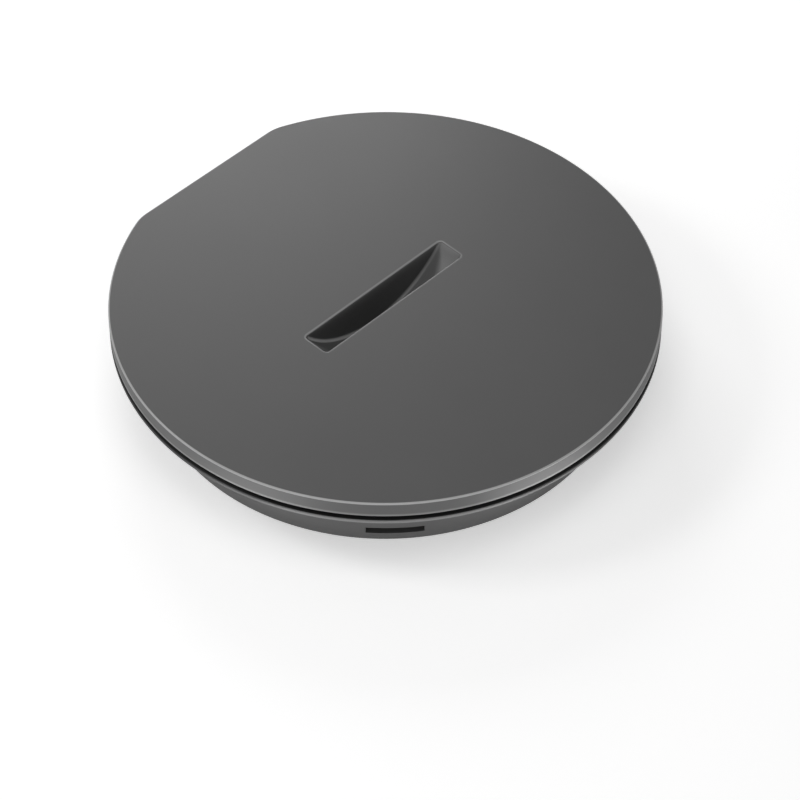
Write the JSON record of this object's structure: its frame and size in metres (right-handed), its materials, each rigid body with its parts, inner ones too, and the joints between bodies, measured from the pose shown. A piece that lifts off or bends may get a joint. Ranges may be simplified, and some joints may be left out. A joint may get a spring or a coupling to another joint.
{
  "type": "vacuum floor head end cap",
  "caption": "Round moulded end cap for a vacuum floor head: flanged cover plate with a flat edge and a coin slot, over a hollow plug skirt.",
  "frame": {"origin": "on the plug skirt's axis, in the plane of the flange's seat", "axes": "+Z out of the cover plate along the skirt's axis, X along the coin slot, +Y from the axis to the plate's straight edge"},
  "size_m": [0.06, 0.0582, 0.0101],
  "materials": {
    "cap_plastic": "satin, finely textured, neutral grey"
  },
  "bodies": {
    "root": {"end_cap": "cap_plastic"}
  },
  "joints": []
}
